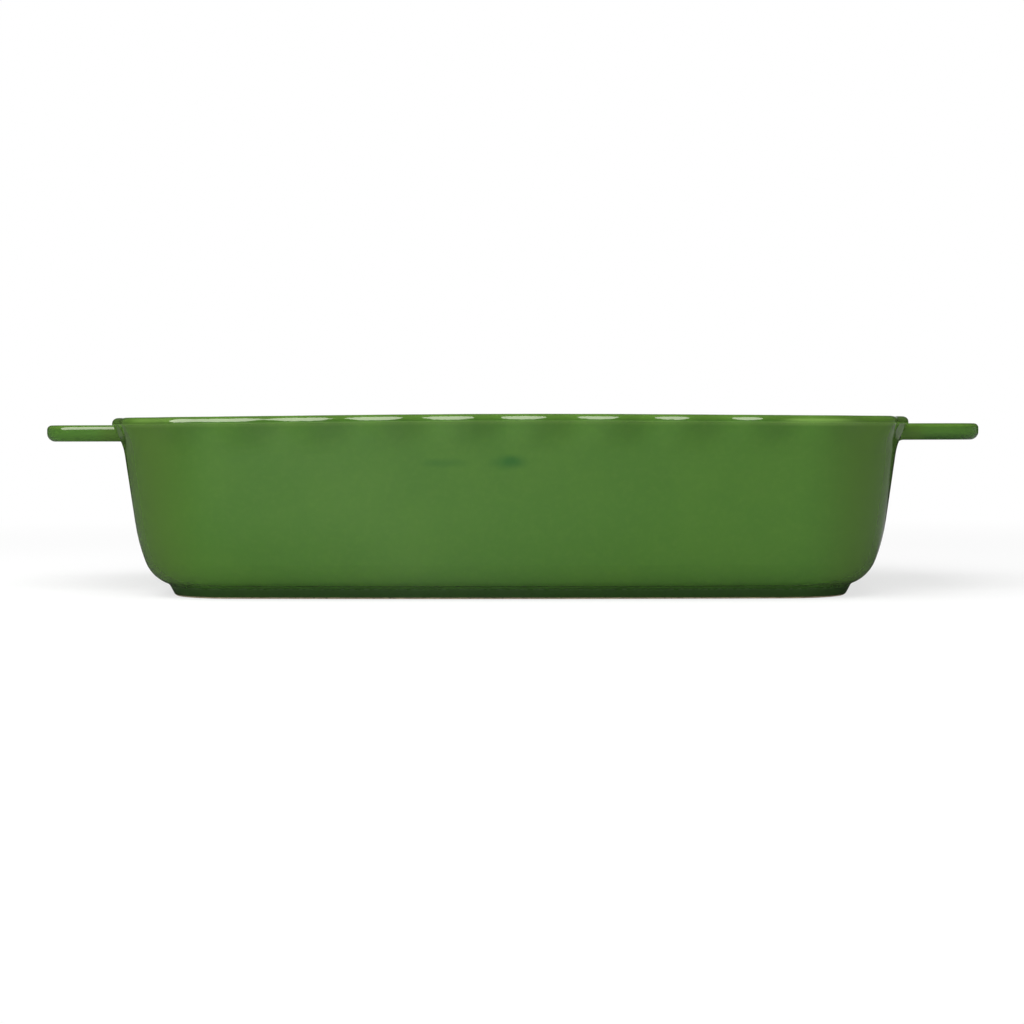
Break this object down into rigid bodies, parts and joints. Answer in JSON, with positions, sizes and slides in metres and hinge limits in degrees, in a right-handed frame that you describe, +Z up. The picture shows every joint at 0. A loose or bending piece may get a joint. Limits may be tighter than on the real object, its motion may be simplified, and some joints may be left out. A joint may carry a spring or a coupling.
{
  "type": "lasagna dish",
  "caption": "Oblong glazed stoneware baking dish with a ruffled rim, a flat tab handle at each end and a low bare standing ring.",
  "frame": {"origin": "middle of the base, on the surface that the dish stands on", "axes": "+X along the length towards the right handle as seen in the picture, -Y towards the camera, +Z up"},
  "size_m": [0.4066, 0.2564, 0.076],
  "materials": {
    "glaze": "glossy moss green glaze",
    "bare_clay": "matt unglazed stoneware"
  },
  "bodies": {
    "root": {"dish": "glaze", "left_handle": "glaze", "right_handle": "glaze", "foot_ring": "bare_clay"}
  },
  "joints": []
}
